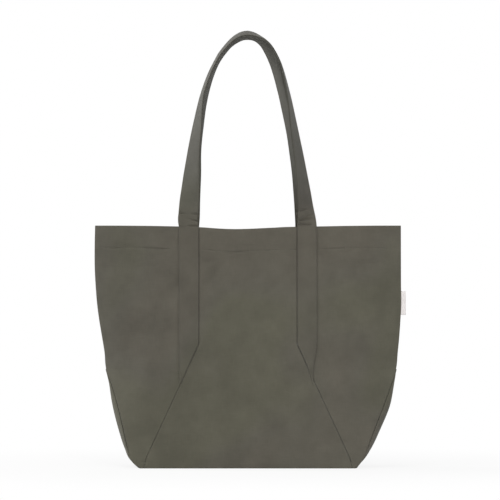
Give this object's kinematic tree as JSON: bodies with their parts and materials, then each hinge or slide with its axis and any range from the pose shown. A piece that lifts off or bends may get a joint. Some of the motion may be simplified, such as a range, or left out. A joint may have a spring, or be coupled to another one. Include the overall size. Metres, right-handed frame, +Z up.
{
  "type": "shopping bag",
  "caption": "Open-topped canvas tote with pieced walls, triangular side gussets, a flat base and two long shoulder straps.",
  "frame": {"origin": "middle of the base's underside, which rests on the table", "axes": "+Z up out of the mouth, the front wall faces -Y, +X to the right of someone who looks at the front"},
  "size_m": [0.4666, 0.1308, 0.6556],
  "materials": {
    "canvas": "matt plain-weave cotton canvas, olive grey",
    "strap_canvas": "matt folded and stitched cotton canvas, olive grey",
    "binding_tape": "matt cotton tape, olive grey",
    "label": "soft woven satin tape, off-white, bare"
  },
  "bodies": {
    "bag": {"base_panel": "canvas", "front_base_seam_binding": "binding_tape", "front_centre_panel": "canvas", "front_left_gusset_seam_binding": "binding_tape", "front_left_panel": "canvas", "front_left_strap_leg": "strap_canvas", "front_mouth_facing": "canvas", "front_right_gusset_seam_binding": "binding_tape", "front_right_panel": "canvas", "front_right_strap_leg": "strap_canvas", "left_gusset": "canvas", "left_side_seam_binding": "binding_tape", "rear_base_seam_binding": "binding_tape", "rear_centre_panel": "canvas", "rear_left_gusset_seam_binding": "binding_tape", "rear_left_panel": "canvas", "rear_left_strap_leg": "strap_canvas", "rear_mouth_facing": "canvas", "rear_right_gusset_seam_binding": "binding_tape", "rear_right_panel": "canvas", "rear_right_strap_leg": "strap_canvas", "right_gusset": "canvas", "right_side_seam_binding": "binding_tape"},
    "front_loop": {"front_handle": "strap_canvas"},
    "rear_loop": {"rear_handle": "strap_canvas"},
    "label_flap": {"side_label": "label"}
  },
  "joints": [
    {"name": "front_handle_fold", "type": "hinge", "parent": "bag", "child": "front_loop", "pos_m": [0, -0.03298, 0.36004], "axis": [1, 0, 0], "range_deg": [0, 170]},
    {"name": "rear_handle_fold", "type": "hinge", "parent": "bag", "child": "rear_loop", "pos_m": [0, 0.03298, 0.36004], "axis": [-1, 0, 0], "range_deg": [0, 170]},
    {"name": "label_flip", "type": "hinge", "parent": "bag", "child": "label_flap", "pos_m": [0.23041, 0, 0.248], "axis": [0, 0, 1], "range_deg": [-100, 100]}
  ]
}
